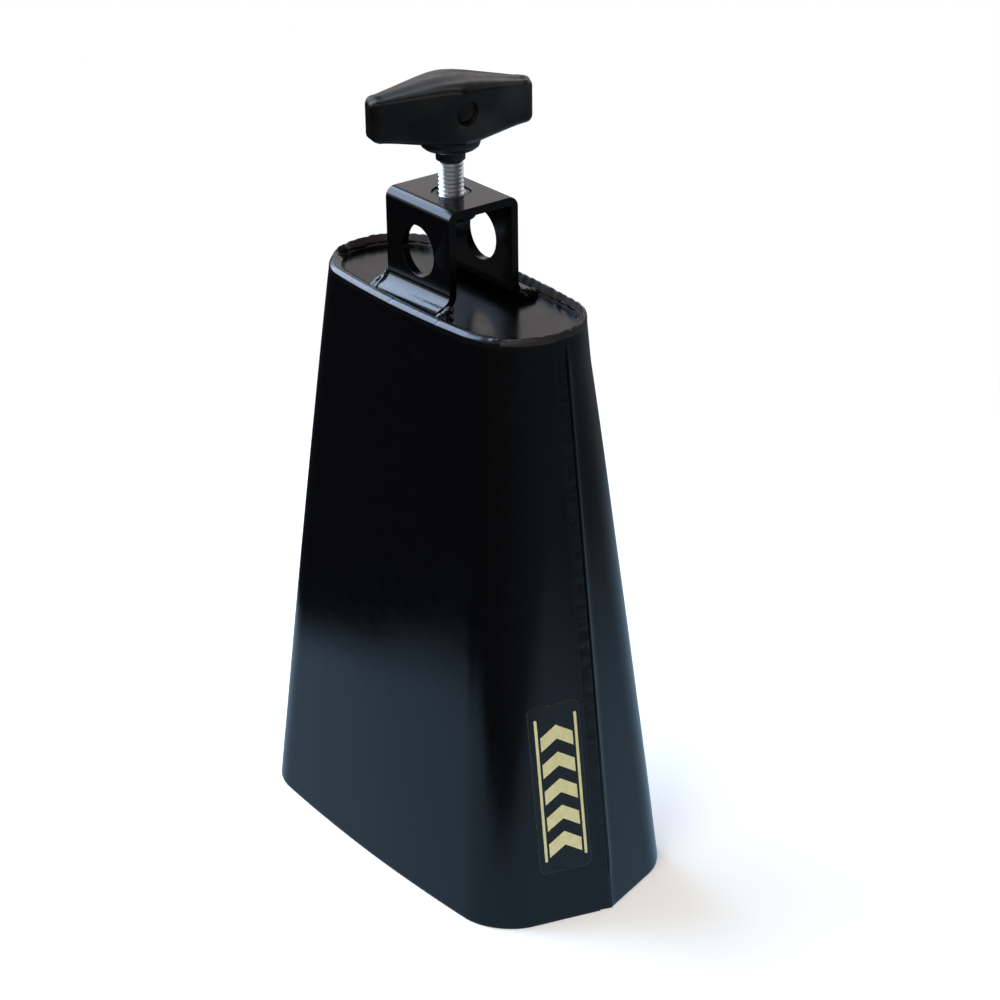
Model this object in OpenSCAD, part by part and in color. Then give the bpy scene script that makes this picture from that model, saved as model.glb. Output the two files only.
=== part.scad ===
// Cowbell with a T-handle clamp
//
// A welded sheet-steel cowbell: two pressed shell halves, a recessed top plate
// and a bent strap bracket on top. A rod passes through the bracket's two legs
// and the T-handle bolt clamps it from above.
//
// Frame: millimetres. X runs along the wide side of the bell (left is -X), Y across it
// (front is -Y), +Z up. The origin is the centre of the open mouth, in the plane of its edge.

/* [Show] */
// Which sub-part to draw

/* [Bell] */
// Height of the rim above the mouth
bell_h = 145; // [120:1:180]
// Sheet thickness of the two shell halves
sheet = 1.5; // [1:0.1:2]
// Length of the mouth, ridge to ridge
mouth_l = 114.8; // [106:0.2:130]
// Width of the mouth at its bend corners
mouth_w = 56; // [52:0.2:64]
// Outward bow of each wide face at the mouth
mouth_bow = 2.4; // [1:0.1:4]
// Length of the top, ridge to ridge
top_l = 78.6; // [76:0.2:90]
// Width of the top at its bend corners
top_w = 28.5; // [28.5:0.1:36]
// Outward bow of each wide face at the top
top_bow = 3; // [3:0.1:5]
// Radius of the bend between a wide face and an end flange
bend_r = 14; // [10:0.5:14]
// Distance of the side seam behind the middle of the bell
seam_y = 1.4; // [0:0.1:2]
// Gap between the two halves, filled by the seam weld
seam_gap = 0.6; // [0.4:0.1:1]

/* [Top plate] */
// Depth of the plate's face below the rim
plate_recess = 1.8; // [1:0.1:3]
// Thickness of the plate
plate_t = 2; // [1.5:0.1:3]

/* [Bracket] */
// Width of the strap along X
strap_w = 24.4; // [20:0.2:30]
// Distance over the outer faces of the legs
strap_d = 20; // [19:0.2:22]
// Height of the strap above the plate
strap_h = 25.4; // [24:0.1:30]
// Thickness of the strap
strap_t = 2; // [1.6:0.1:2.4]
// Outer radius of the two top bends
strap_r = 2.6; // [2.5:0.1:4]
// Reach of each foot past the outer face of its leg
foot_l = 4.2; // [3.5:0.1:4.6]
// Inner radius of the two foot bends
foot_r = 2.3; // [1:0.1:2.5]
// Radius of the weld beads at the ends of the feet
bead_r = 1.7; // [1.2:0.1:2]
// Diameter of the rod hole through both legs
rod_d = 12.3; // [9:0.1:12.3]
// Depth of the rod hole's centre below the top of the strap
rod_drop = 12.3; // [12.3:0.1:13.5]

/* [Clamp] */
// Diameter of the insert's collar, flush in the strap
collar_d = 9.3; // [8.5:0.1:10]
// Height of the insert's body below the strap
insert_h = 4; // [3:0.1:4]
// Diameter over the bolt's thread crests
thread_d = 6; // [6:0.1:6]
// Thread pitch
pitch = 1; // [1:0.1:1]
// Gap between the strap and the underside of the handle's neck
open_gap = 7.8; // [5:0.1:12]

/* [Handle] */
// Length over the two wings
wing_l = 40; // [32:0.5:60]
// Thickness across the middle of the handle
wing_t = 17; // [15:0.5:22]
// Thickness at the wing tips
tip_t = 6.8; // [5:0.1:8]
// Offset of the round recess from the bolt, along the wings
recess_off = 1.3; // [0:0.1:3]
// Turn of the handle about the bolt
handle_turn = -14; // [-180:1:180]

/* [Hidden] */
$fn = 72;
eps = 0.01;                           // thickness of the thin slices that hulls span
plate_z = bell_h - plate_recess;      // upper face of the top plate
plate_share = plate_z / bell_h;
strap_z = plate_z + strap_h;          // upper face of the bracket
rod_z = strap_z - rod_drop;           // axis of the rod hole
leg_y = strap_d / 2;                  // outer face of a leg
insert_z = strap_z - strap_t - insert_h;
neck_z = strap_z + open_gap;          // underside of the handle's neck
thread_r = thread_d / 2;
black = [0.035, 0.038, 0.045];
steel = [0.72, 0.73, 0.75];
handle_black = [0.06, 0.06, 0.062];
cream = [0.86, 0.8, 0.55];

// ---- Outline of the bell at a height, as a share of bell_h, moved in by inset ----
mouth_flange = 8.6;    // X distance from bend corner to ridge at the mouth
top_flange = 0.1;      // the same at the top
ridge_inset = 1.03;    // how far a ridge moves in per mm of inset

function mix(from, to, share) = from + (to - from) * share;
function unit(v) = v / norm(v);

// arc that rounds a corner between two neighbours, kept within 95% of either edge
function fillet(corner, before, after, radius, steps = 8) =
    let (to_before = unit(before - corner),
         to_after = unit(after - corner),
         half = acos(to_before * to_after) / 2,
         reach = min(radius / tan(half), 0.95 * norm(after - corner), 0.95 * norm(before - corner)),
         arc_r = reach * tan(half),
         centre = corner + unit(to_before + to_after) * arc_r / sin(half),
         start = corner + to_before * reach - centre,
         end = corner + to_after * reach - centre,
         start_angle = atan2(start[1], start[0]),
         sweep = (atan2(end[1], end[0]) - start_angle + 540) % 360 - 180)
    [for (j = [0:steps])
        let (angle = start_angle + sweep * j / steps)
        centre + arc_r * [cos(angle), sin(angle)]];

// one side of the outline, from the left ridge to the right; dir is -1 front, +1 rear
function side(share, inset, dir) =
    let (ridge_x = mix(mouth_l, top_l, share) / 2 - inset * ridge_inset,
         corner_x = ridge_x - mix(mouth_flange, top_flange, share),
         corner_y = mix(mouth_w, top_w, share) / 2 - inset,
         bow = mix(mouth_bow, top_bow, share),
         ridge = [ridge_x, seam_y],
         arc = fillet([corner_x, dir * corner_y], [0, dir * corner_y], ridge,
                      max(1, bend_r - inset)),
         arc_end = arc[len(arc) - 1],
         flat = concat([for (j = [0:7]) [arc[0][0] * j / 8, dir * corner_y]],
                       arc,
                       [for (j = [1:3]) mix(arc_end, ridge, j / 4)]),
         // the bow fades out towards the corner and down the flange
         bowed = [for (p = flat)
             [p[0], p[1] + dir * bow * max(0, 1 - pow(p[0] / corner_x, 2))
                         * pow(min(1, abs(p[1]) / corner_y), 2)]])
    concat([[-ridge_x, seam_y]],
           [for (j = [len(bowed) - 1:-1:1]) [-bowed[j][0], bowed[j][1]]],
           bowed,
           [ridge]);

function outline(share, inset = 0) =
    let (front = side(share, inset, -1), rear = side(share, inset, 1))
    concat(front, [for (j = [len(rear) - 2:-1:1]) rear[j]]);

// solid between two heights, each a share of bell_h with its own inset
module loft(low, high, low_inset = 0, high_inset = 0)
    hull() {
        translate([0, 0, low * bell_h]) linear_extrude(eps) polygon(outline(low, low_inset));
        translate([0, 0, high * bell_h - eps]) linear_extrude(eps)
            polygon(outline(high, high_inset));
    }

// ---- Shell halves ----
// inside of the bell, run past both ends for a clean cut
module bell_inside() loft(-0.02, 1.02, sheet, sheet);

module bell_wall()
    difference() {
        loft(0, 1);
        bell_inside();
    }

// block larger than the bell in X and Z, from y towards the rear
module cut_block(y, depth)
    translate([-100, y, -10]) cube([200, depth, 220]);

module front_shell_half()
    color(black) difference() {
        bell_wall();
        cut_block(seam_y - seam_gap / 2, 100);
    }

module rear_shell_half()
    color(black) difference() {
        bell_wall();
        cut_block(seam_y + seam_gap / 2 - 100, 100);
    }

// ---- Top plate and welds ----
plate_gap = 0.2;         // between the plate's edge and the shell
rim_weld_rise = 0.6;     // height of the weld above the rim
rim_weld_inset = 0.5;    // outer edge, in from the bell's outline
rim_weld_foot = 2.6;     // inner edge at the plate, in from the outline
rim_weld_lip = 2;        // inner edge at the top
seam_bead_r = 1.5;
seam_bead_inset = 1.1;   // bead axis in from the ridge
seam_bead_end = 0.6;     // bead ends short of the mouth and the rim

module top_plate()
    color(black) translate([0, 0, plate_z - plate_t])
        linear_extrude(plate_t) polygon(outline(plate_share, sheet + plate_gap));

module rim_weld()
    color(black) difference() {
        translate([0, 0, plate_z]) linear_extrude(plate_recess + rim_weld_rise)
            polygon(outline(1, rim_weld_inset));
        loft(plate_share - 0.001, 1.006, rim_weld_foot, rim_weld_lip);
        bell_wall();
    }

// thin disc on the bead's axis, for a bell of the given length at height z
module seam_disc(dir, length, z)
    translate([dir * (length / 2 - seam_bead_inset), seam_y, z])
        cylinder(r = seam_bead_r, h = eps, $fn = 24);

// bead outside the shell and in the seam gap; dir is -1 left, +1 right
module seam_bead(dir)
    difference() {
        hull() {
            seam_disc(dir, mouth_l, seam_bead_end);
            seam_disc(dir, top_l, bell_h - seam_bead_end);
        }
        bell_inside();
        difference() {
            loft(0, 1);
            cut_block(seam_y - seam_gap / 2, seam_gap);
        }
    }

module side_seam_weld_left() color(black) seam_bead(-1);
module side_seam_weld_right() color(black) seam_bead(1);

// ---- Bracket ----
bead_out = 0.3;      // bead axis outside the strap's edge
bead_lift = 0.7;     // bead axis above the plate
bead_start = 0.4;    // bead's inner end past the outer face of the leg

// quarter of a bend, in the quadrant given by two signs
module bend2d(y, z, outer_r, inner_r, y_sign, z_sign)
    translate([y, z]) intersection() {
        difference() {
            circle(r = outer_r);
            circle(r = inner_r);
        }
        translate([y_sign > 0 ? 0 : -outer_r, z_sign > 0 ? 0 : -outer_r]) square(outer_r);
    }

module strap_half2d() {
    // top
    translate([0, strap_h - strap_t]) square([leg_y - strap_r, strap_t]);
    bend2d(leg_y - strap_r, strap_h - strap_r, strap_r, strap_r - strap_t, 1, 1);
    // leg
    translate([leg_y - strap_t, strap_t + foot_r])
        square([strap_t, strap_h - strap_r - strap_t - foot_r]);
    // foot
    bend2d(leg_y + foot_r, strap_t + foot_r, strap_t + foot_r, foot_r, -1, -1);
    translate([leg_y + foot_r, 0]) square([foot_l - foot_r, strap_t]);
}

module mounting_bracket()
    color(black) difference() {
        translate([-strap_w / 2, 0, plate_z]) rotate([90, 0, 90]) linear_extrude(strap_w) {
            strap_half2d();
            mirror([1, 0]) strap_half2d();
        }
        // rod hole, then collar hole
        translate([0, 30, rod_z]) rotate([90, 0, 0]) cylinder(d = rod_d, h = 60);
        translate([0, 0, strap_z - strap_t - 5]) cylinder(d = collar_d, h = 20);
    }

// bead that ties one end of a foot to the plate; signs pick the end (x) and the foot (y)
module foot_bead(x_sign, y_sign) {
    bead_end = foot_l - bead_r;
    difference() {
        translate([x_sign * (strap_w / 2 + bead_out), 0, plate_z + bead_lift]) {
            translate([0, y_sign > 0 ? leg_y + bead_start : -leg_y - bead_end, 0])
                rotate([-90, 0, 0]) cylinder(r = bead_r, h = bead_end - bead_start);
            for (reach = [bead_start, bead_end])
                translate([0, y_sign * (leg_y + reach), 0]) sphere(r = bead_r);
        }
        // clear the plate and the strap
        translate([-40, -40, plate_z - 10]) cube([80, 80, 10]);
        translate([-strap_w / 2, y_sign > 0 ? 0 : -40, plate_z - 1]) cube([strap_w, 40, 20]);
    }
}

module foot_weld_front_left() color(black) foot_bead(-1, -1);
module foot_weld_front_right() color(black) foot_bead(1, -1);
module foot_weld_rear_left() color(black) foot_bead(-1, 1);
module foot_weld_rear_right() color(black) foot_bead(1, 1);

// ---- Clamp ----
fit_gap = 0.03;        // clearance around the bolt
insert_r = 5.7;
insert_bevel = 0.4;
collar_drop = 0.05;    // collar's face below the strap's
collar_bevel = 0.3;
lead_in = 0.4;         // countersink of the insert's bore
tip_bevel = 0.8;
thread_depth = 0.55;
plain_tip = 1.6;       // least ungrooved length at the tip
shank_r = 2.6;
shank_taper = 0.4;
head_r = 4.6;
head_bevel = 0.4;
// heights above the underside of the neck
thread_end = 1.2;
head_bottom = 7.4;
head_top = 10.8;

module threaded_insert() {
    bore_r = thread_r + fit_gap;
    collar_r = collar_d / 2;
    face_z = strap_z - collar_drop;
    color(steel) rotate_extrude()
        polygon([[bore_r, insert_z], [insert_r - insert_bevel, insert_z],
                 [insert_r, insert_z + insert_bevel], [insert_r, strap_z - strap_t],
                 [collar_r, strap_z - strap_t], [collar_r, face_z - collar_bevel],
                 [collar_r - collar_bevel, face_z], [thread_r + lead_in, face_z],
                 [bore_r, strap_z - lead_in]]);
}

// threaded length with ring grooves, then the plain shank and the head held in the handle
module clamp_bolt() {
    tip_z = insert_z + 0.2;
    end_z = neck_z + thread_end;
    grooves = floor((end_z - tip_z - plain_tip) / pitch);
    first_z = end_z - grooves * pitch;
    root_r = thread_r - thread_depth;
    // one groove: radius, height as a share of the pitch
    groove = [[thread_r, 0.06], [root_r, 0.44], [root_r, 0.56], [thread_r, 0.94]];
    color(steel) rotate_extrude()
        polygon(concat(
            [[0, tip_z], [thread_r - tip_bevel, tip_z], [thread_r, tip_z + tip_bevel]],
            [for (j = [0:grooves - 1], p = groove) [p[0], first_z + (j + p[1]) * pitch]],
            [[thread_r, end_z], [shank_r, end_z + shank_taper],
             [shank_r, neck_z + head_bottom], [head_r, neck_z + head_bottom],
             [head_r, neck_z + head_top - head_bevel],
             [head_r - head_bevel, neck_z + head_top], [0, neck_z + head_top]]));
}

// ---- Handle, with z = 0 at the underside of the neck ----
crown_z = 20;          // top of the middle
belly_z = 5.2;         // underside of the middle
tip_top_z = 17.4;
tip_bottom_z = 6.6;
lower_bevel = 1;       // along the lower edges, and the radial step at the tips
crown_bevel = 1.4;
tip_top_bevel = 0.9;
neck_d = 6.9;
boss_d = 14;
flare_z = 2.7;         // cone between neck and boss
flare_h = 0.9;
recess_d = 5.8;
recess_z = 12.8;
recess_depth = 3;      // below the side face

// elliptic disc; half-axes as shares of wing_t
module oval(z, height, x_share, y_share)
    translate([0, 0, z]) scale([wing_t * x_share, wing_t * y_share, 1])
        cylinder(r = 1, h = height, $fn = 32);

module wings() {
    tip_r = tip_t / 2;
    tip_h = tip_top_z - tip_bottom_z;
    hull() {
        oval(crown_z - eps, eps, 0.34, 0.42);
        oval(belly_z + lower_bevel, crown_z - belly_z - lower_bevel - crown_bevel, 0.5, 0.32);
        oval(belly_z, eps, 0.44, 0.3);
        for (s = [-1, 1]) translate([0, s * (wing_l / 2 - tip_r), tip_bottom_z]) {
            cylinder(r = tip_r - lower_bevel, h = tip_h, $fn = 24);
            translate([0, 0, lower_bevel])
                cylinder(r = tip_r, h = tip_h - lower_bevel - tip_top_bevel, $fn = 24);
        }
    }
}

// space for the bolt's thread end, shank and head
module bolt_seat() {
    hole_r = thread_r + fit_gap;
    shank_hole_r = shank_r + fit_gap;
    head_hole_r = head_r + fit_gap;
    rotate_extrude()
        polygon([[0, -1], [hole_r, -1], [hole_r, thread_end],
                 [shank_hole_r, thread_end + shank_taper], [shank_hole_r, head_bottom - fit_gap],
                 [head_hole_r, head_bottom - fit_gap], [head_hole_r, head_top + fit_gap],
                 [0, head_top + fit_gap]]);
}

module t_handle()
    color(handle_black) translate([0, 0, neck_z]) rotate([0, 0, handle_turn]) difference() {
        union() {
            wings();
            cylinder(d = neck_d, h = 4);
            translate([0, 0, flare_z]) cylinder(d1 = 11.6, d2 = boss_d, h = flare_h);
            translate([0, 0, flare_z + flare_h]) cylinder(d = boss_d, h = 5);
        }
        bolt_seat();
        // round recess in each side face
        for (s = [-1, 1])
            translate([s * (wing_t / 2 + 1), recess_off, recess_z]) rotate([0, -s * 90, 0])
                cylinder(d = recess_d, h = recess_depth + 1);
    }

// ---- Decal on the right end flange, in front of the seam ----
decal_t = 0.15;
decal_y = -15.4;       // front edge
decal_z = 13.5;        // lower edge
decal_w = 12.8;
decal_h = 43.5;

module decal_label()
    color(cream) difference() {
        intersection() {
            loft(0, 1, -decal_t, -decal_t);
            translate([30, decal_y, decal_z]) cube([50, decal_w, decal_h]);
        }
        loft(0, 1);
    }

front_shell_half();
rear_shell_half();
top_plate();
rim_weld();
side_seam_weld_left();
side_seam_weld_right();
mounting_bracket();
foot_weld_front_left();
foot_weld_front_right();
foot_weld_rear_left();
foot_weld_rear_right();
threaded_insert();
clamp_bolt();
t_handle();
decal_label();
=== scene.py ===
# Black enamelled bell standing mouth down on the floor, with a bracket, clamp bolt and T-handle on
# top. Long side along X, front towards -Y, rear towards +Y, left towards -X, up +Z. The mouth is
# centred on the origin. Sizes are in mm and are scaled by MM when a mesh is made.
import bpy, bmesh, math
import numpy as np
from contextlib import contextmanager
from mathutils import Vector, Matrix, noise

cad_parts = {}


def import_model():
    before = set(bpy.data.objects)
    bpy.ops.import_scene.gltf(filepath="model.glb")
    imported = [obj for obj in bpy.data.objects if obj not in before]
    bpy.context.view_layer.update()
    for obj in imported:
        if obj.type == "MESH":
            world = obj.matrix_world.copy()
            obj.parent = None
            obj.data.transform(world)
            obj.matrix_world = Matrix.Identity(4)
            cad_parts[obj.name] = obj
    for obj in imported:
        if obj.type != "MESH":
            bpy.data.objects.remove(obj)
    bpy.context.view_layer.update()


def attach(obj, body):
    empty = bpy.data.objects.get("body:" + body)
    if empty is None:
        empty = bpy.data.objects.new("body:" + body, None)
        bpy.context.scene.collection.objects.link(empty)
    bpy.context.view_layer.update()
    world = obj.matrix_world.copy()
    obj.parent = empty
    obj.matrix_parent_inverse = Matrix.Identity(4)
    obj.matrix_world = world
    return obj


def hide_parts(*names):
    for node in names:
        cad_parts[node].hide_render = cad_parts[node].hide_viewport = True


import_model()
scene = bpy.context.scene
MM = 0.001

# ---------------------------------------------------------------- sizes, mm
HEIGHT = 145.0
# bell sections as (at the mouth, at the top)
LENGTH = (114.8, 78.6)
WIDTH = (56.0, 28.5)
BOW = (2.4, 3.0)                # how far the long faces bulge
CORNER_INSET = (8.6, 0.1)       # corner to end ridge, along X
CORNER_RADIUS = 14.0
RIDGE_Y = 1.4                   # where the front and rear halves meet
SHEET = 1.5                     # sheet thickness
PLATE_Z = 143.2                 # upper face of the top plate
ROD_Z = 156.3                   # axis of the rod hole through the bracket
NECK_Z = 176.4                  # underside of the handle
HANDLE_TURN = math.radians(-14)


# ---------------------------------------------------------------- outline of the bell
def unit(v):
    return v / np.linalg.norm(v)


def fillet(corner, start, end, radius, steps=30):
    """Arc that rounds a corner between the legs towards start and end."""
    u, v = unit(start - corner), unit(end - corner)
    half = math.acos(float(u @ v)) / 2
    setback = min(radius / math.tan(half),
                  0.95 * np.linalg.norm(end - corner), 0.95 * np.linalg.norm(start - corner))
    radius = setback * math.tan(half)
    centre = corner + unit(u + v) * radius / math.sin(half)
    first, last = corner + u * setback - centre, corner + v * setback - centre
    angle0, angle1 = math.atan2(first[1], first[0]), math.atan2(last[1], last[0])
    sweep = (angle1 - angle0 + 3 * math.pi) % (2 * math.pi) - math.pi
    angles = angle0 + sweep * np.linspace(0, 1, steps + 1)
    return centre + radius * np.c_[np.cos(angles), np.sin(angles)]


def half_outline(share, side):
    """Line from the left ridge to the right one at a share of the height; side -1 front, 1 rear."""
    def at(pair):
        return pair[0] + (pair[1] - pair[0]) * share

    ridge_x, corner_y, bow = at(LENGTH) / 2, at(WIDTH) / 2, at(BOW)
    corner_x = ridge_x - at(CORNER_INSET)
    ridge = np.array([ridge_x, RIDGE_Y])
    corner = np.array([corner_x, side * corner_y])
    middle = np.array([0, side * corner_y])
    arc = fillet(corner, middle, ridge, CORNER_RADIUS)
    right = np.vstack([[(arc[0][0] * j / 40, side * corner_y) for j in range(40)], arc,
                       [arc[-1] + (ridge - arc[-1]) * j / 8 for j in range(1, 8)]])
    bulge = (side * bow * np.maximum(0, 1 - (right[:, 0] / corner_x) ** 2)
             * np.minimum(1, np.abs(right[:, 1]) / corner_y) ** 2)
    right = right + np.c_[0 * bulge, bulge]
    left = right[:0:-1] * [-1, 1]
    return np.vstack([[[-ridge_x, RIDGE_Y]], left, right, [ridge]])


def arc_lengths(line):
    return np.r_[0, np.cumsum(np.linalg.norm(np.diff(line, axis=0), axis=1))]


def along(line, where):
    """Points and outward normals at the distances given by where along a line."""
    run = arc_lengths(line)
    reach = 0.35                # half the span a tangent is taken over

    def at(distance):
        return np.interp(distance, run, line[:, 0]), np.interp(distance, run, line[:, 1])

    x, y = at(where)
    x0, y0 = at(np.clip(np.asarray(where) - reach, 0, run[-1]))
    x1, y1 = at(np.clip(np.asarray(where) + reach, 0, run[-1]))
    points, normals = np.c_[x, y], np.c_[y1 - y0, x0 - x1]
    normals /= np.linalg.norm(normals, axis=1)[:, None]
    flip = np.sign((points * normals).sum(1))
    flip[flip == 0] = 1
    return points, normals * flip[:, None]


def full_outline(share, count):
    """Evenly spaced points, softened normals and distances round the whole section."""
    line = np.vstack([half_outline(share, -1), half_outline(share, 1)[::-1][1:]])
    run = np.linspace(0, arc_lengths(line)[-1], count, endpoint=False)
    points, raw = along(line, run)
    normals = [unit(raw[np.arange(i - 4, i + 5) % count].sum(0)) for i in range(count)]
    return points, np.array(normals), run


# ---------------------------------------------------------------- shader helpers
def connect(tree, target, inputs):
    """Set a node's inputs: nodes and sockets are linked, anything else is a value."""
    for key, value in inputs.items():
        if isinstance(value, bpy.types.Node):
            value = value.outputs[0]
        if isinstance(value, bpy.types.NodeSocket):
            tree.links.new(value, target.inputs[key])
        else:
            target.inputs[key].default_value = value


def node(tree, kind, inputs=None, **settings):
    made = tree.nodes.new("ShaderNode" + kind)
    for key, value in settings.items():
        setattr(made, key, value)
    connect(tree, made, inputs or {})
    return made


def ramp(tree, source, stops):
    """Colour ramp from (position, grey or RGB) stops."""
    made = node(tree, "ValToRGB", {0: source})
    elements = made.color_ramp.elements
    while len(elements) < len(stops):
        elements.new(0.5)
    for element, (position, color) in zip(elements, stops):
        element.position = position
        element.color = (*color, 1) if isinstance(color, tuple) else (color, color, color, 1)
    return made


def smooth_range(tree, value, low, high, to=(0.0, 1.0)):
    return node(tree, "MapRange", {"Value": value, "From Min": low, "From Max": high,
                                   "To Min": to[0], "To Max": to[1]},
                interpolation_type="SMOOTHSTEP")


def calc(tree, operation, first, second):
    return node(tree, "Math", {0: first, 1: second}, operation=operation)


def mix_shader(tree, share, first, second):
    return node(tree, "MixShader", {0: share, 1: first, 2: second})


def clear_tree(owner):
    owner.use_nodes = True
    owner.node_tree.nodes.clear()
    return owner.node_tree


class Surface:
    """A principled material textured in object space."""

    def __init__(self, name):
        self.material = bpy.data.materials.new(name)
        self.tree = clear_tree(self.material)
        self.shader = node(self.tree, "BsdfPrincipled")
        node(self.tree, "OutputMaterial", {0: self.shader})
        self.coords = node(self.tree, "TexCoord").outputs["Object"]

    def noise(self, scale, detail=3, roughness=0.5, stretch=None):
        where = self.coords
        if stretch:
            where = node(self.tree, "Mapping", {"Scale": stretch, 0: where})
        return node(self.tree, "TexNoise", {"Scale": scale, "Detail": detail,
                                            "Roughness": roughness, "Vector": where})

    def ramp(self, source, stops):
        return ramp(self.tree, source, stops)

    def set(self, **inputs):
        """Shader inputs by name, with _ for a space."""
        connect(self.tree, self.shader, {k.replace("_", " "): v for k, v in inputs.items()})

    def relief(self, *layers):
        """Stacked bumps, first one lowest, each (height source, depth in mm, strength)."""
        below = None
        for height, depth, strength in layers:
            inputs = {"Strength": strength, "Distance": depth * MM, "Height": height}
            if below is not None:
                inputs["Normal"] = below
            below = node(self.tree, "Bump", inputs)
        self.set(Normal=below)


# ---------------------------------------------------------------- materials
def enamel(name, roughness, peel, wave, base=(0.0014, 0.0015, 0.0019), wear=0.012, ior=1.5):
    """Gloss black paint: orange peel and panel waves (mm deep), faint dust, thinner on edges.

    roughness is (least, most); wear is the grey that shows on the edges.
    """
    s = Surface(name)
    fine = s.noise(scale=1400, detail=4, roughness=0.55)
    medium = s.noise(scale=240)
    slow = s.noise(scale=38, detail=2)
    dust = s.noise(scale=2600, detail=2, roughness=0.6)
    speck = tuple(c + 0.012 for c in base)
    edge = s.ramp(node(s.tree, "NewGeometry").outputs["Pointiness"], [(0.53, 0.0), (0.62, 1.0)])
    color = node(s.tree, "Mix", {
        "Factor": calc(s.tree, "MULTIPLY", edge, fine),
        "A": s.ramp(dust, [(0.66, base), (0.8, speck)]),
        "B": (wear, wear * 1.05, wear * 1.1, 1)}, data_type="RGBA")
    s.set(Roughness=s.ramp(medium, [(0.3, roughness[0]), (0.72, roughness[1])]),
          Base_Color=color.outputs["Result"], IOR=ior)
    s.relief((slow, wave, 1.0), (medium, peel * 1.6, 0.6), (fine, peel, 0.8))
    return s.material


def zinc():
    s = Surface("zinc_plate")
    fine = s.noise(scale=1800, detail=4, roughness=0.6)
    blotch = s.noise(scale=420)
    turned = s.noise(scale=900, roughness=0.6, stretch=(1, 1, 6))
    s.set(Metallic=1,
          Base_Color=s.ramp(blotch, [(0.3, (0.78, 0.79, 0.80)), (0.7, (0.93, 0.94, 0.95))]),
          Roughness=s.ramp(turned, [(0.3, 0.34), (0.75, 0.46)]))
    s.relief((turned, 0.004, 1.0), (fine, 0.003, 0.7))
    return s.material


def plastic():
    s = Surface("black_moulded_plastic")
    fine = s.noise(scale=2400, roughness=0.6)
    medium = s.noise(scale=330, detail=4, roughness=0.55)
    flow = s.noise(scale=60, detail=2)
    s.set(Base_Color=s.ramp(flow, [(0.40, (0.0004, 0.0004, 0.0004)), (0.52, (0.004, 0.004, 0.004)),
                                   (0.66, (0.020, 0.0198, 0.0194))]),
          Roughness=s.ramp(medium, [(0.3, 0.3), (0.72, 0.42)]), IOR=1.60)
    s.relief((flow, 0.10, 1.0), (medium, 0.02, 0.8), (fine, 0.008, 0.8))
    return s.material


def film():
    s = Surface("clear_label_film")
    medium = s.noise(scale=300)
    s.set(Base_Color=s.ramp(medium, [(0.3, (0.0045, 0.005, 0.006)), (0.7, (0.008, 0.009, 0.01))]),
          Roughness=s.ramp(medium, [(0.3, 0.16), (0.7, 0.24)]))
    s.relief((medium, 0.02, 1.0))
    return s.material


# lighter grey film border: a painted highlight for the light lines along the label's cut edge
def film_edge():
    s = Surface("label_film_edge_painted_highlight")
    medium = s.noise(scale=500)
    s.set(Base_Color=s.ramp(medium, [(0.35, (0.02, 0.024, 0.028)), (0.65, (0.075, 0.082, 0.09))]),
          Roughness=0.4)
    return s.material


def ink():
    s = Surface("cream_printed_ink")
    medium = s.noise(scale=700, roughness=0.6)
    blotch = s.noise(scale=120, detail=2)
    s.set(Base_Color=s.ramp(medium, [(0.25, (0.80, 0.74, 0.36)), (0.6, (0.92, 0.87, 0.50))]),
          Roughness=s.ramp(blotch, [(0.3, 0.35), (0.7, 0.5)]))
    s.relief((medium, 0.008, 1.0))
    return s.material


mat_shell = enamel("black_enamel_shell", roughness=(0.11, 0.17), peel=0.007, wave=0.06)
mat_plate = enamel("black_enamel_plate", roughness=(0.16, 0.24), peel=0.005, wave=0.03, ior=1.30)
mat_strap = enamel("black_enamel_strap", roughness=(0.11, 0.18), peel=0.006, wave=0.02, ior=1.39)
mat_foot = enamel("black_enamel_foot", roughness=(0.13, 0.24), peel=0.050, wave=0.55, ior=1.44)
# rougher weld paint whose lighter base colour and extra edge grey are a painted reflection on the
# rear and end bead
mat_weld_rough_painted_reflection = enamel("black_enamel_weld_rough_painted_reflection", roughness=(0.28, 0.44), peel=0.030, wave=0.08,
                  base=(0.026, 0.0225, 0.023), wear=0.05)
mat_weld = enamel("black_enamel_weld", roughness=(0.19, 0.30), peel=0.016, wave=0.06, wear=0.02)
mat_seam = enamel("black_enamel_seam", roughness=(0.22, 0.40), peel=0.030, wave=0.05, wear=0.02)
mat_insert = enamel("black_enamel_insert", roughness=(0.25, 0.4), peel=0.012, wave=0.01,
                    base=(0.006, 0.0065, 0.007), wear=0.05)
mat_zinc, mat_plastic, mat_film = zinc(), plastic(), film()
mat_film_edge_highlight, mat_ink = film_edge(), ink()


# ---------------------------------------------------------------- mesh helpers
@contextmanager
def editing(mesh):
    bm = bmesh.new()
    bm.from_mesh(mesh)
    yield bm
    bm.to_mesh(mesh)
    bm.free()


def solid(name, verts, faces):
    """Object from points in mm, with doubles merged and normals outward."""
    mesh = bpy.data.meshes.new(name)
    mesh.from_pydata([tuple(float(c) * MM for c in v) for v in verts], [],
                     [tuple(map(int, f)) for f in faces])
    mesh.validate()
    with editing(mesh) as bm:
        bmesh.ops.remove_doubles(bm, verts=bm.verts, dist=1e-7)
        bmesh.ops.recalc_face_normals(bm, faces=bm.faces)
    obj = bpy.data.objects.new(name, mesh)
    scene.collection.objects.link(obj)
    return obj


def shade_smooth(obj, sharp=None):
    """Smooth shading, with edges above the sharp angle in degrees kept crisp."""
    for face in obj.data.polygons:
        face.use_smooth = True
    if sharp is not None:
        obj.data.set_sharp_from_angle(angle=math.radians(sharp))


def set_materials(obj, *materials):
    obj.data.materials.clear()
    for material in materials:
        obj.data.materials.append(material)


def register(obj, slot, body, replaced):
    if body:
        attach(obj, body)
    if replaced:
        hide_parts(*replaced)


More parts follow.
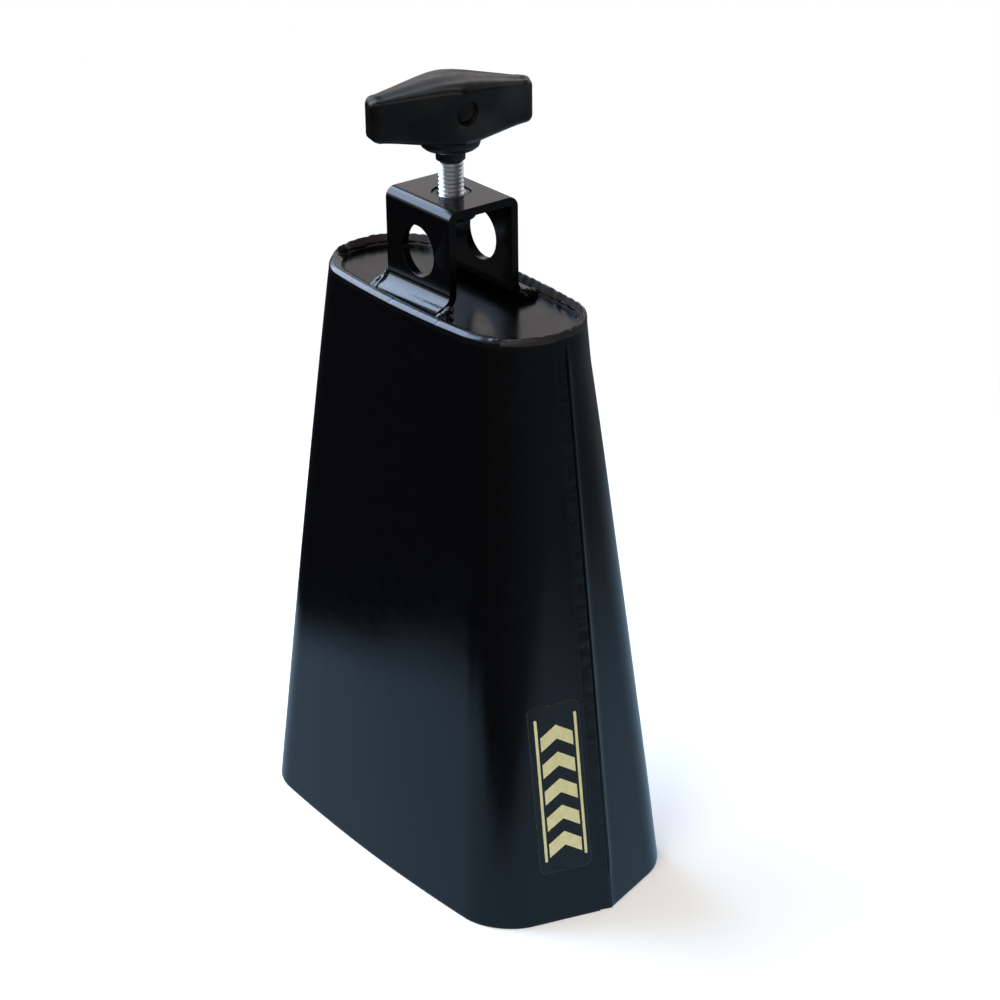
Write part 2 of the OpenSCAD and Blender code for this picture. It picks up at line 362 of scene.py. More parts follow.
def add_mesh(name, verts, faces, material, slot, body="bell", replaced=(), sharp=35):
    obj = solid(name, verts, faces)
    shade_smooth(obj, sharp)
    set_materials(obj, material)
    register(obj, slot, body, replaced)
    return obj


def apply_modifiers(obj):
    depsgraph = bpy.context.evaluated_depsgraph_get()
    mesh = bpy.data.meshes.new_from_object(obj.evaluated_get(depsgraph),
                                           preserve_all_data_layers=False, depsgraph=depsgraph)
    old = obj.data
    obj.modifiers.clear()
    obj.data = mesh
    bpy.data.meshes.remove(old)


def combine(obj, tool, operation="DIFFERENCE"):
    """Boolean the tool into the object and delete the tool."""
    boolean = obj.modifiers.new("boolean", "BOOLEAN")
    boolean.operation, boolean.solver, boolean.object = operation, "EXACT", tool
    bpy.context.view_layer.update()
    apply_modifiers(obj)
    bpy.data.objects.remove(tool)


def band(first, second, count):
    """Quads between two closed rings of count vertices that start at first and second."""
    ring = [(j, (j + 1) % count) for j in range(count)]
    return [(first + j, first + k, second + k, second + j) for j, k in ring]


def fan(first, tip, count):
    """Triangles from a closed ring to one vertex."""
    return [(first + j, first + (j + 1) % count, tip) for j in range(count)]


def loop_tube(rings, closed):
    """Tube through rings of equal size; an open tube gets end faces of quads across the ring."""
    size, count = len(rings[0]), len(rings)
    faces = []
    for i in range(count if closed else count - 1):
        a, b = i * size, ((i + 1) % count) * size
        for m in range(size):
            n = (m + 1) % size
            faces.append((a + m, b + m, b + n, a + n))
    if not closed:
        for base in (0, (count - 1) * size):
            for m in range(size // 2 - 1 + size % 2):
                quad = (base + m, base + m + 1, base + size - 2 - m, base + size - 1 - m)
                faces.append(tuple(dict.fromkeys(quad)))
    return np.vstack(rings), faces


def lathe(profile, segments):
    """Solid of revolution about Z from (r, z) points, from axis to axis or closed on itself."""
    verts, faces, rings = [], [], []
    angles = np.linspace(0, 2 * math.pi, segments, endpoint=False)
    for r, z in profile:
        if r < 1e-6:
            rings.append([len(verts)] * segments)
            verts.append((0, 0, z))
        else:
            rings.append(list(range(len(verts), len(verts) + segments)))
            verts += [(r * math.cos(t), r * math.sin(t), z) for t in angles]
    on_axis = profile[0][0] < 1e-6 and profile[-1][0] < 1e-6
    for i in range(len(rings) - 1 if on_axis else len(rings)):
        a, b = rings[i], rings[(i + 1) % len(rings)]
        for j in range(segments):
            k = (j + 1) % segments
            face = tuple(dict.fromkeys((a[j], a[k], b[k], b[j])))
            if len(face) > 2:
                faces.append(face)
    return verts, faces


def fbm(x, y, z, seed, octaves=3):
    """Layered noise, scaled by the sum of the layers' weights."""
    value, weight, total = 0.0, 1.0, 0.0
    for octave in range(octaves):
        k = 2 ** octave
        value += weight * noise.noise(Vector((x * k + seed, y * k - seed, z * k + 2 * seed)))
        total += weight
        weight *= 0.5
    return value / total


def smooth(x, start, end):
    """Smoothstep from 0 at start to 1 at end."""
    t = np.clip((x - start) / (end - start), 0, 1)
    return t * t * (3 - 2 * t)


# ---------------------------------------------------------------- shell halves
HEM_Z = 0.5                     # where the rounded mouth edge starts
# rounded mouth edge: (share of the thickness inwards, height)
HEM = [(0.02, 0.3), (0.09, 0.12), (0.2, 0.03), (0.33, 0.0),
       (0.67, 0.0), (0.8, 0.03), (0.91, 0.12), (0.98, 0.3)]
# stations next to the seam edge, and how much of the lip stands proud at each
LIP_STATIONS = np.array([0, 0.10, 0.22, 0.40, 0.62, 0.90, 1.25, 2.4])
LIP_SHAPE = np.array([-0.12, 0.45, 0.85, 1.0, 0.8, 0.42, 0.12, 0])


def shell_half(side, trim, lip):
    """One half. trim: seam edge to ridge; lip: how far that edge stands proud."""
    body = np.linspace(0, 1, 150)[1:-1]
    edge, lip_end = len(LIP_STATIONS), LIP_STATIONS[-1]
    outer, inner = [], []
    for z in np.r_[HEM_Z, np.linspace(1.2, HEIGHT - 2.0, 90), HEIGHT - 0.9]:
        line = half_outline(z / HEIGHT, side)
        total = arc_lengths(line)[-1]
        run = np.r_[trim + LIP_STATIONS,
                    trim + lip_end + (total - 2 * trim - 2 * lip_end) * body,
                    (total - trim - LIP_STATIONS)[::-1]]
        points, normals = along(line, run)
        rise = (lip * (0.25 + 0.75 * float(smooth(z, 7.0, 13.0)))
                * (0.3 + 0.7 * float(smooth(z, HEIGHT - 2, HEIGHT - 8))))
        proud = np.zeros(len(run))
        proud[:edge], proud[-edge:] = LIP_SHAPE * rise, LIP_SHAPE[::-1] * rise
        # slow dents, faded out towards the seams and the rim
        share = run / total
        wave = 0.16 * np.array([fbm(x * 0.018, y * 0.03, z * 0.016, seed=3.1 + side, octaves=2)
                                for x, y in points])
        wave *= smooth(np.minimum(share, 1 - share), 0.0, 0.12)
        wave *= float(smooth(z, HEIGHT - 3.0, HEIGHT - 16.0))
        level = np.full(len(run), z)
        outer.append(np.c_[points + normals * (proud + wave - 0.06)[:, None], level])
        inner.append(np.c_[points - normals * (SHEET - wave)[:, None], level])
    outer, inner = np.array(outer), np.array(inner)      # (height, station, xyz)
    rings = []
    for j in range(outer.shape[1]):
        outside, inside = outer[:, j], inner[:, j]
        across = inside[0] - outside[0]
        hem = [outside[0] + across * share + np.array([0, 0, z - HEM_Z]) for share, z in HEM]
        rings.append(np.vstack([outside[::-1], hem, inside]))
    return loop_tube(rings, closed=False)


for name, half in (("front", shell_half(side=-1, trim=2.75, lip=0.05)),
                   ("rear", shell_half(side=1, trim=0.25, lip=0.42))):
    add_mesh(name + "_shell_half_panel", *half, mat_shell, "black_enamel",
             replaced=(name + "_shell_half",), sharp=40)


# ---------------------------------------------------------------- side seam welds
SEAM_FRONT, SEAM_REAR = 3.1, 0.55       # reach of the bead in front of and behind the ridge


def seam_weld(side):
    """Bead up the end ridge; side -1 left, 1 right."""
    reach = ((-1, np.linspace(SEAM_FRONT, 0, 9)), (1, np.linspace(0, SEAM_REAR, 7)[1:]))
    across = np.linspace(0, 1, 15)
    hump = np.interp(across, [0, 0.10, 0.3, 0.5, 0.72, 0.88, 1],
                     [-0.32, -0.12, 0.02, 0.05, -0.04, -0.16, -0.25])
    cover = np.interp(across, [0, 0.15, 0.5, 0.85, 1], [0, 0.8, 1, 0.7, 0])
    inner_hump = np.interp(across, [0, 0.2, 0.5, 0.8, 1], [0.1, -0.12, -0.28, -0.12, 0.1])
    rings = []
    for z in np.arange(0.45, HEIGHT - 0.7, 0.42):
        parts = []
        for half, run in reach:
            line = half_outline(z / HEIGHT, half)
            parts.append(along(line, run if side < 0 else arc_lengths(line)[-1] - run))
        points, raw = (np.vstack(pair) for pair in zip(*parts))
        # softened normals, so the bead rolls over the ridge
        normals = np.array([unit(raw[max(0, i - 2):i + 3].sum(0)) for i in range(len(raw))])
        fade = 0.25 + 0.75 * float(smooth(z, 6.0, 12.0))
        lump = 0.20 * fade * np.array([fbm(x * 0.42, y * 0.42, z * 0.33, seed=7.7 + side)
                                       for x, y in points])
        ripple = 0.10 * fbm(z * 0.5, 2.0, 0, seed=4.0 + side, octaves=2) * fade
        level = np.full(len(points), z)
        outer = np.c_[points + normals * (hump + (lump + ripple) * cover)[:, None], level]
        depth = -SHEET + inner_hump - lump * cover * 0.7
        inner = np.c_[points + normals * depth[:, None], level]
        rings.append(np.vstack([outer, inner[::-1]]))
    return loop_tube(rings, closed=False)


for side, name in ((-1, "left"), (1, "right")):
    add_mesh("side_seam_weld_%s_bead" % name, *seam_weld(side), mat_seam, "black_weld",
             replaced=("side_seam_weld_" + name,), sharp=60)


# ---------------------------------------------------------------- rim weld
# bead sections as (depth in from the outer wall, height)
# broad and flat-topped along the front
RIM_FRONT = [
    (0.6, 143.3), (0.16, 143.7), (0.04, 144.05), (0.03, 144.4), (0.05, 144.6), (0.10, 144.72),
    (0.22, 144.85), (0.42, 145.0), (0.65, 145.15), (0.88, 145.28), (1.08, 145.38),
    (1.25, 145.42), (1.42, 145.42), (1.8, 145.34), (2.3, 145.20), (2.8, 145.03), (3.2, 144.80),
    (3.5, 144.4), (3.65, 144.0), (3.9, 143.18), (3.8, 142.9), (1.3, 142.6)]
# narrow and proud along the back
RIM_BACK = [
    (0.6, 143.3), (0.16, 143.7), (0.04, 144.05), (0.0, 144.45), (-0.02, 144.85), (0.0, 145.15),
    (0.08, 145.4), (0.2, 145.6), (0.36, 145.74), (0.5, 145.84), (0.63, 145.86), (0.76, 145.78),
    (0.88, 145.6), (1.0, 145.3), (1.12, 145.0), (1.24, 144.65), (1.36, 144.3), (1.5, 143.95),
    (1.66, 143.6), (1.9, 143.18), (1.8, 142.9), (1.3, 142.6)]
SMOOTH_END_X = 31.0             # right end of the smooth front run
BEAD_PITCH = 2.7
RIM_MAX_Z = 146.4


def rim_weld():
    count = 900
    top, _, run = full_outline(1.0, count)
    x, y = top[:, 0], top[:, 1]
    # smooth and even along the front, beady at the right end, the back and the left end
    front = (smooth(-y, 0.0, 7.0) * (1 - smooth(x, SMOOTH_END_X, SMOOTH_END_X + 3.0))
             * smooth(x, -37.6, -34.0))
    rough = 0.10 + 0.90 * (1 - front)
    bead = np.array([0.35 * math.sin(2 * math.pi * s / BEAD_PITCH
                                     + 6.0 * fbm(s * 0.13, 1.0, 0, seed=5.0))
                     + 2.0 * fbm(s * 0.30, 0.0, 0.0, seed=9.0, octaves=2) for s in run])
    wobble = np.array([fbm(s * 0.26, 3.0, 0.0, seed=6.0, octaves=2) for s in run])
    waver = np.array([fbm(s * 0.16, 5.0, 0.0, seed=3.0) for s in run])
    # start-stop marks on the front
    gap = (np.exp(-((x - 34.4) / 1.6) ** 2) + 0.25 * np.exp(-((x + 2.0) / 0.35) ** 2)
           + 0.3 * np.exp(-((x - 15.6) / 0.4) ** 2)) * (y < 0)
    columns = []
    for (front_d, front_z), (back_d, back_z) in zip(RIM_FRONT, RIM_BACK):
        share = min(0.5 * (front_z + back_z), HEIGHT) / HEIGHT
        points, normals, _ = full_outline(share, count)
        inward = np.interp(back_d, [0.0, 0.5, 1.0, 1.6, 1.9], [0.0, 0.25, 1.0, 1.0, 0.5])
        depth = front_d * front + back_d * (1 - front)
        z = front_z * front + back_z * (1 - front)
        upper = np.clip((z - 143.6) / 1.4, 0.0, 1.0) * (1.0 if back_d < 1.2 else 0.3)
        lift = upper * (rough * (0.17 * bead - 0.14) - 0.42 * gap)
        shift = (inward * (rough * 0.46 * wobble - 0.15 * rough + 0.25 * gap)
                 + 0.10 * waver * np.minimum(1.0, depth))
        shift += np.where(depth < 0.5, 0.02 * rough * np.maximum(0, bead), 0)
        columns.append(np.c_[points - normals * (depth + shift)[:, None],
                             np.minimum(z + lift, RIM_MAX_Z)])
    return loop_tube(list(np.stack(columns, axis=1)), closed=True)


rim = add_mesh("rim_weld_bead", *rim_weld(), mat_weld, "black_weld", replaced=("rim_weld",),
               sharp=None)
# rougher paint on all but the front run, its lighter base colour and edge grey a painted reflection
rim.data.materials.append(mat_weld_rough_painted_reflection)
for face in rim.data.polygons:
    if face.center.y > -4.0 * MM or face.center.x > 33.5 * MM:
        face.material_index = 1


# ---------------------------------------------------------------- top plate
PLATE_INSET, PLATE_THICK = 1.35, 2.0


def top_plate():
    """Plate of nested rings, each a share of the outline, with a slightly uneven upper face."""
    count = 240
    shares = [1.0, 0.985, 0.94, 0.88, 0.8, 0.7, 0.58, 0.45, 0.32, 0.2, 0.1]
    points, normals, _ = full_outline(PLATE_Z / HEIGHT, count)
    outline = points - normals * PLATE_INSET
    verts, faces = [], []
    for z, dent in ((PLATE_Z, 0.03), (PLATE_Z - PLATE_THICK, 0)):
        base = len(verts)
        for share in shares:
            for x, y in outline * share:
                dz = dent * fbm(x * 0.06, y * 0.06, 0, seed=8.0, octaves=2) * (1 - share ** 6)
                verts.append((x, y, z + dz))
        verts.append((0, 0, z))
        for r in range(len(shares) - 1):
            faces += band(base + r * count, base + (r + 1) * count, count)
        faces += fan(base + (len(shares) - 1) * count, base + len(shares) * count, count)
    return verts, faces + band(0, len(shares) * count + 1, count)


add_mesh("top_plate_panel", *top_plate(), mat_plate, "black_enamel", replaced=("top_plate",),
         sharp=50)

# ---------------------------------------------------------------- mounting bracket
STRAP_THICK = 2.0
STRAP_HEIGHT = 25.4             # above the plate
STRAP_HALF_WIDTH = 12.2         # along X
LEG_Y = 10.0                    # outer face of a leg
TOP_BEND, FOOT_BEND = 2.6, 2.3  # outside radius at the top, and radius on top of the foot
FOOT_LENGTH = 3.6


def strap_profile():
    """Closed outline in (y, z above the plate): a bridge with two out-turned feet."""
    def arc(cy, cz, radius, start, end, steps):
        return [(cy + radius * math.cos(math.radians(a)), cz + radius * math.sin(math.radians(a)))
                for a in np.linspace(start, end, steps + 1)]

    thick, top, toe = STRAP_THICK, STRAP_HEIGHT, LEG_Y + FOOT_LENGTH
    bend_y, bend_z = LEG_Y - TOP_BEND, top - TOP_BEND
    foot_y, foot_z = LEG_Y + FOOT_BEND, thick + FOOT_BEND
    right = [(0, top), (2.5, top), (5.0, top)] + arc(bend_y, bend_z, TOP_BEND, 90, 0, 14)
    right += [(LEG_Y, z) for z in (20, 17, 13, 9, 6)]
    right += arc(foot_y, foot_z, FOOT_BEND, 180, 270, 12)
    right += [(12.6, thick), (12.9, thick), (toe - 0.35, thick), (toe - 0.1, thick - 0.1),
              (toe, thick - 0.35), (toe, 0.3), (toe - 0.25, 0.0)]
    right += arc(foot_y, foot_z, FOOT_BEND + thick, 270, 180, 12)
    right += [(LEG_Y - thick, z) for z in (9, 13, 17, 20)]
    right += arc(bend_y, bend_z, TOP_BEND - thick, 0, 90, 8)
    right += [(y, top - thick) for y in (5.0, 2.5, 0)]
    left = [(-y, z) for y, z in right[::-1]]
    return right + left[1:-1]


def bend_front_foot(bm):
    """The front foot slopes down to its outer edge and lifts towards +X."""
    for v in bm.verts:
        x, y, z = v.co.x / MM, v.co.y / MM, v.co.z / MM - PLATE_Z
        if y > -7.9 or z > 6.8:
            continue
        t = min(1.0, max(0.0, (-y - 10.3) / 3.3)) ** 2
        at_leg = 0.95 + 0.55 * float(smooth(x, 0.0, STRAP_HALF_WIDTH))
        at_toe = -0.38 + 1.1 * (x + STRAP_HALF_WIDTH) / (2 * STRAP_HALF_WIDTH)
        v.co.z += (at_leg * (1 - t) + at_toe * t) * (1 - float(smooth(z, 4.4, 6.8))) * MM


def bracket():
    profile = strap_profile()
    size = len(profile)
    verts = [(x, y, PLATE_Z + z) for x in (-STRAP_HALF_WIDTH, STRAP_HALF_WIDTH)
             for y, z in profile]
    ring = [(m, (m + 1) % size) for m in range(size)]
    faces = [(m, n, size + n, size + m) for m, n in ring]
    faces += [tuple(range(size)), tuple(range(2 * size - 1, size - 1, -1))]
    obj = add_mesh("mounting_bracket_strap", verts, faces, mat_strap, "black_enamel",
                   replaced=("mounting_bracket",), sharp=None)

    # rod hole through both legs, collar hole in the top
    rod, rod_faces = lathe([(0, -30), (6.15, -30), (6.15, 30), (0, 30)], 128)
    combine(obj, solid("cut_rod", [(x, z, y + ROD_Z) for x, y, z in rod], rod_faces))
    collar = lathe([(0, 160), (4.65, 160), (4.65, 180), (0, 180)], 96)
    combine(obj, solid("cut_collar", *collar))

    with editing(obj.data) as bm:
        bmesh.ops.remove_doubles(bm, verts=bm.verts, dist=2e-6)
        above_feet = (PLATE_Z + 4.5) * MM
        bmesh.ops.dissolve_limit(
            bm, angle_limit=math.radians(0.4),
            verts=[v for v in bm.verts if v.co.z > above_feet],
            edges=[e for e in bm.edges if min(v.co.z for v in e.verts) > above_feet])
        bend_front_foot(bm)
    bevel = obj.modifiers.new("edge", "BEVEL")
    bevel.width, bevel.segments = 0.28 * MM, 3
    bevel.limit_method, bevel.angle_limit = "ANGLE", math.radians(38)
    apply_modifiers(obj)
    shade_smooth(obj, sharp=30)
    set_materials(obj, mat_strap, mat_foot)
    for face in obj.data.polygons:
        if face.center.y < -10.6 * MM and face.center.z < (PLATE_Z + 4.6) * MM:
            face.material_index = 1
    obj.modifiers.new("wn", "WEIGHTED_NORMAL").keep_sharp = True


bracket()

# ---------------------------------------------------------------- foot welds
# each weld is a set of strands of (x, y, z above the plate, radius)
FOOT_WELDS = {
    # climbs the leg's corner and spreads down to the outer corner of the foot
    "front_left": [
        [(-12.45, -10.2, 4.9, 0.35), (-12.35, -10.6, 3.7, 0.7), (-12.2, -11.4, 2.35, 0.95),
         (-12.2, -12.4, 1.6, 0.95), (-12.3, -13.4, 1.0, 0.85)],
        [(-12.9, -10.6, 2.9, 0.9), (-13.1, -11.6, 2.3, 1.15), (-13.3, -12.8, 1.5, 1.15),
         (-13.5, -14.1, 0.7, 0.95)],
        [(-13.9, -11.6, 1.3, 0.9), (-14.2, -12.8, 0.9, 1.0), (-14.1, -13.8, 0.5, 0.85)]],
    "front_right": [
        [(12.9, -10.3, 2.9, 0.8), (13.1, -11.2, 2.3, 1.2), (13.2, -12.4, 1.7, 1.3),
         (12.9, -13.6, 1.2, 1.15), (12.0, -14.2, 0.7, 0.85)],
        [(14.0, -11.6, 1.0, 1.1), (14.2, -12.8, 0.7, 1.15), (13.7, -13.9, 0.5, 0.9)]],
    "rear_left": [
        [(-12.7, 10.4, 1.6, 0.9), (-12.9, 11.6, 0.9, 1.3), (-12.8, 13.0, 0.8, 1.2),
         (-12.5, 14.0, 0.5, 0.9)]],
    "rear_right": [
        [(12.7, 10.3, 1.9, 0.9), (13.0, 11.4, 1.1, 1.3), (13.1, 12.8, 0.9, 1.35),
         (12.7, 14.1, 0.6, 1.0)]],
}
BEAD_STEP = 0.35                # least spacing of the spheres along a strand
GRAIN = 0.30                    # depth of the lumps


def sphere_chain(strands):
    points = []
    for strand in strands:
        strand = np.array(strand, float)
        for a, b in zip(strand[:-1], strand[1:]):
            steps = max(2, int(np.linalg.norm(b[:3] - a[:3]) / BEAD_STEP))
            points += [a + (b - a) * i / steps for i in range(steps)]
        points.append(strand[-1])
    return points


def weld_blob(name, strands, seed):
    """Lumpy bead: spheres along the strands, voxel-fused into one piece."""
    around, rows = 16, 10
    verts, faces = [], []
    for x, y, z, radius in sphere_chain(strands):
        base = len(verts)
        for i in range(rows + 1):
            polar = math.pi * i / rows
            for j in range(around):
                turn = 2 * math.pi * j / around
                verts.append((x + radius * math.sin(polar) * math.cos(turn),
                              y + radius * math.sin(polar) * math.sin(turn),
                              PLATE_Z + z + radius * math.cos(polar)))
        for i in range(rows):
            faces += band(base + i * around, base + (i + 1) * around, around)
    obj = solid(name, verts, faces)
    fuse = obj.modifiers.new("fuse", "REMESH")
    fuse.mode, fuse.voxel_size = "VOXEL", 0.16 * MM
    bpy.context.view_layer.update()
    apply_modifiers(obj)
    relax = obj.modifiers.new("relax", "SMOOTH")
    relax.factor, relax.iterations = 0.5, 6
    apply_modifiers(obj)
    for v in obj.data.vertices:
        q = v.co / MM
        lump = fbm(q.x * 0.75, q.y * 0.75, q.z * 0.75, seed)
        v.co += v.normal * (lump * GRAIN * MM)
        v.co.z = max(v.co.z, (PLATE_Z - 0.25) * MM)
    shade_smooth(obj)
    set_materials(obj, mat_weld)
    return obj


for i, (name, strands) in enumerate(FOOT_WELDS.items()):
    bead = weld_blob("foot_weld_%s_bead" % name, strands, seed=1.3 + 3.4 * i)
    register(bead, "black_weld", "bell", ("foot_weld_" + name,))

# ---------------------------------------------------------------- threaded insert
# closed section in (r, z)
INSERT = [(3.03, 162.62), (5.25, 162.62), (5.55, 162.75), (5.68, 163.05), (5.68, 166.6),
          (4.62, 166.6), (4.62, 168.0), (4.5, 168.18), (4.3, 168.26), (3.75, 168.28),
          (3.55, 168.22), (3.2, 167.9), (3.03, 167.7)]
add_mesh("threaded_insert_collar", *lathe(INSERT, 96), mat_insert, "black_weld",
         replaced=("threaded_insert",), sharp=35)

# ---------------------------------------------------------------- clamp bolt
THREAD_PITCH = 1.0
CREST, ROOT = 3.0, 2.42         # thread radii
BOLT_TIP_Z, THREAD_END_Z = 162.82, 177.3
# shank and head inside the handle, (r, z)
BOLT_HEAD = [(2.55, THREAD_END_Z + 0.3), (2.55, NECK_Z + 7.4), (4.5, NECK_Z + 7.45),
             (4.55, NECK_Z + 7.7), (4.55, NECK_Z + 10.3), (4.2, NECK_Z + 10.75)]


def thread_radius(z, angle):
    """Helical thread, tapered at both ends."""
    phase = (z / THREAD_PITCH - angle / (2 * math.pi)) % 1.0
    flank, floor = CREST - 0.01, ROOT + 0.03
    r = np.interp(phase, [0, 0.06, 0.44, 0.5, 0.56, 0.94, 1.0],
                  [CREST, flank, floor, ROOT, floor, flank, CREST])
    limit = min(CREST, 2.15 + (z - BOLT_TIP_Z) * 0.95, 2.7 + (THREAD_END_Z - z) * 1.2)
    return min(r, max(limit, 2.1))


def bolt():
    around, rows_per_turn = 72, 20
    angles = [2 * math.pi * c / around for c in range(around)]
    verts, faces = [], []
    levels = np.arange(BOLT_TIP_Z + 0.02, THREAD_END_Z, THREAD_PITCH / rows_per_turn)
    for z in levels:
        for t in angles:
            r = thread_radius(z, t)
            verts.append((r * math.cos(t), r * math.sin(t), z))
    for j in range(len(levels) - 1):
        faces += band(j * around, (j + 1) * around, around)
    base = (len(levels) - 1) * around
    for r, z in BOLT_HEAD:
        start = len(verts)
        verts += [(r * math.cos(t), r * math.sin(t), z) for t in angles]
        faces += band(base, start, around)
        base = start
    verts += [(0, 0, NECK_Z + 10.78), (0, 0, BOLT_TIP_Z)]
    faces += fan(base, len(verts) - 2, around)
    faces += [(k, j, tip) for j, k, tip in fan(0, len(verts) - 1, around)]
    return verts, faces


add_mesh("clamp_bolt_thread", *bolt(), mat_zinc, "zinc_plate", body="handle",
         replaced=("clamp_bolt",), sharp=60)

# ---------------------------------------------------------------- T-handle
# Built about its own axis: wings along local Y, z above the neck.
WING_END = 20.0
TIP_LENGTH = 2.8                # rounded end of a wing
TIP_START = WING_END - TIP_LENGTH
TIP_RADIUS = 3.4                # of the circle that shapes the wing's end in plan
HUB_X, HUB_Y = 8.5, 5.44        # half axes of the ellipse in the middle
CROWN = 0.45                    # doming of the top face
BOSS = [(0, 0.02), (3.28, 0.02), (3.42, 0.16), (3.45, 0.4), (3.46, 2.3), (3.75, 2.62),
        (5.4, 2.72), (6.1, 2.95), (6.75, 3.5), (6.98, 4.2), (7.0, 5.2), (7.0, 8.5), (0, 8.5)]
# round recess in each broad face, as (r, distance out from its floor)
RECESS = [(0, 0.0), (2.45, 0.03), (2.7, 0.12), (2.8, 0.35), (2.86, 3.3), (2.98, 3.6),
          (3.3, 3.9), (3.3, 6), (0, 6)]
RECESS_FLOOR_X = 8.45 - 3.75
RECESS_Y, RECESS_Z = 1.3, 12.8
BOLT_SEAT = [(0, -1), (3.02, -1), (3.02, 0.62), (2.6, 1.1), (2.6, 7.4), (4.6, 7.4),
             (4.6, 10.8), (0, 10.8)]


def wing_plan():
    """(distance from the middle, half thickness): hull of the hub ellipse and the tip circle."""
    angles = np.linspace(0, math.pi / 2, 60)
    points = [(HUB_Y * math.sin(t), HUB_X * math.cos(t)) for t in angles]
    points += [(WING_END - TIP_RADIUS + TIP_RADIUS * math.sin(t), TIP_RADIUS * math.cos(t))
               for t in angles]
    hull = []
    for p in sorted(set(points)):
        while len(hull) > 1:
            (x0, y0), (x1, y1) = hull[-2:]
            if (x1 - x0) * (p[1] - y0) - (y1 - y0) * (p[0] - x0) < 0:
                break
            hull.pop()
        hull.append(p)
    return zip(*hull)


def wing_section(y, plan):
    """Ring of (x, y, z) points round the handle at y."""
    a = abs(y)
    half = float(np.interp(min(a, TIP_START), *plan))
    top = float(np.interp(a, [0, 3, 6, 10, 14, TIP_START], [19.97, 19.9, 19.5, 18.75, 18.0, 17.4]))
    bottom = float(np.interp(a, [0, 5, 8, 14, TIP_START], [5.2, 5.35, 5.75, 6.45, 6.75]))
    if a > TIP_START:
        q = min(1.0, (a - TIP_START) / TIP_LENGTH)
        rounding = math.sqrt(max(0.0, 1 - q * q))
        half *= 0.30 + 0.70 * rounding
        top -= 1.5 * (1 - rounding) ** 1.2
        bottom += 1.9 * (1 - rounding) ** 1.2
    r_top = min(half * 0.55, float(np.interp(a, [0, 6, TIP_START], [3.4, 2.8, 1.1])))
    r_bottom = min(half * 0.35, 1.4)
    squash = float(np.interp(a, [0, 10, TIP_START], [0.60, 0.70, 0.9]))
    flat = half - r_top

    def quarter(start, steps=18):
        return [math.radians(start + 90 * i / (steps - 1)) for i in range(steps)]

    def top_corner(side, start):
        return [(side * flat + r_top * math.cos(t),
                 top - CROWN - r_top * squash * (1 - math.sin(t))) for t in quarter(start)]

    points = top_corner(1, 0)
    for i in range(1, 9):
        x = flat * (1 - i / 4.5)
        points.append((x, top - CROWN * (1 - (1 - (x / flat) ** 2) ** 2)))
    points += top_corner(-1, 90)
    for start, side in ((180, -1), (270, 1)):
        points += [(side * (half - r_bottom) + r_bottom * math.cos(t),
                    bottom + r_bottom + r_bottom * math.sin(t)) for t in quarter(start)]
    points = np.array(points)
    # narrows slightly above and below the middle
    x = points[:, 0] * (1 - 0.03 * ((points[:, 1] - (top + bottom) / 2) / 6.5) ** 2)
    return np.c_[x, np.full(len(x), y), points[:, 1]]


def wings():
    plan = tuple(wing_plan())
    stations = list(np.linspace(0, TIP_START, 40))
    stations += [TIP_START + TIP_LENGTH * math.sin(t) for t in np.linspace(0, math.pi / 2, 16)[1:]]
    stations = sorted(set([-y for y in stations] + stations))
    rings = [wing_section(y, plan) for y in stations]
    size = len(rings[0])
    verts = [tuple(v) for ring in rings for v in ring]
    faces = []
    for i in range(len(rings) - 1):
        faces += band(i * size, (i + 1) * size, size)
    for i in (0, len(rings) - 1):
        verts.append(tuple(np.mean(rings[i], axis=0)))
        faces += fan(i * size, len(verts) - 1, size)
    return verts, faces


def to_world(verts):
    c, s = math.cos(HANDLE_TURN), math.sin(HANDLE_TURN)
    return [(x * c - y * s, x * s + y * c, z + NECK_Z) for x, y, z in verts]


def handle():
    verts, faces = wings()
    obj = add_mesh("t_handle_wings", to_world(verts), faces, mat_plastic, "black_plastic",
                   body=None, sharp=None)
    verts, faces = lathe(BOSS, 96)
    combine(obj, solid("boss", to_world(verts), faces), "UNION")
    for side in (1, -1):
        verts, faces = lathe(RECESS, 64)
        verts = [(side * (RECESS_FLOOR_X + z), x + RECESS_Y, y + RECESS_Z) for x, y, z in verts]
        combine(obj, solid("recess", to_world(verts), faces))
    verts, faces = lathe(BOLT_SEAT, 72)
    combine(obj, solid("seat", to_world(verts), faces))
    with editing(obj.data) as bm:
        bmesh.ops.remove_doubles(bm, verts=bm.verts, dist=2e-6)
    shade_smooth(obj, sharp=38)
    set_materials(obj, mat_plastic)
    register(obj, "black_plastic", "handle", ("t_handle",))


handle()


# ---------------------------------------------------------------- decal on the right end flange
def on_flange(arc, z, proud):
    """Point arc mm in front of the right ridge at height z, proud mm off the surface."""
    points, normals = along(half_outline(z / HEIGHT, -1)[::-1], [arc])
    x, y = points[0] + normals[0] * proud
    return (x, y, z)


